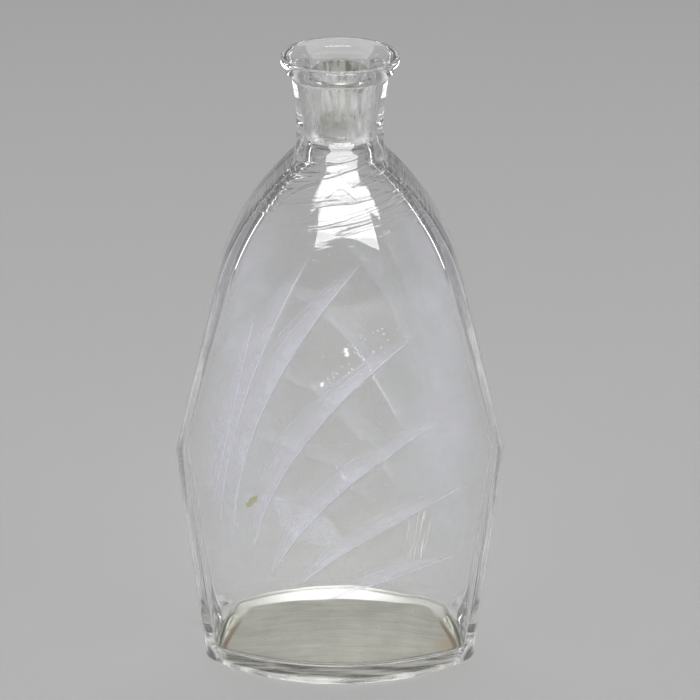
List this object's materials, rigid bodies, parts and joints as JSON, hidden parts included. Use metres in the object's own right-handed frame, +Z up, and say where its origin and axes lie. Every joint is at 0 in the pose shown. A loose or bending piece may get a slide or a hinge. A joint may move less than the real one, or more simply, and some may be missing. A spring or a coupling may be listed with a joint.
{
  "type": "glass carafe",
  "caption": "Flat-sided clear glass carafe with sharp side edges, raised leaf relief on both broad faces, a ground neck bore and a flared pouring lip.",
  "frame": {"origin": "middle of the face that the carafe stands on", "axes": "+Z up along the neck's axis, X across the broad faces, and the broad faces look along -Y and +Y"},
  "size_m": [0.1334, 0.0736, 0.2598],
  "materials": {
    "foot": "clear, fire polished outside, limescale film on the inner floor",
    "body": "clear, moulded, slightly wavy, satin beside the relief's crisp edges",
    "neck": "clear outside, ground and frosted bore",
    "lip": "clear, fire polished"
  },
  "bodies": {
    "root": {"foot": "foot", "body": "body", "neck": "neck", "lip": "lip"}
  },
  "joints": []
}
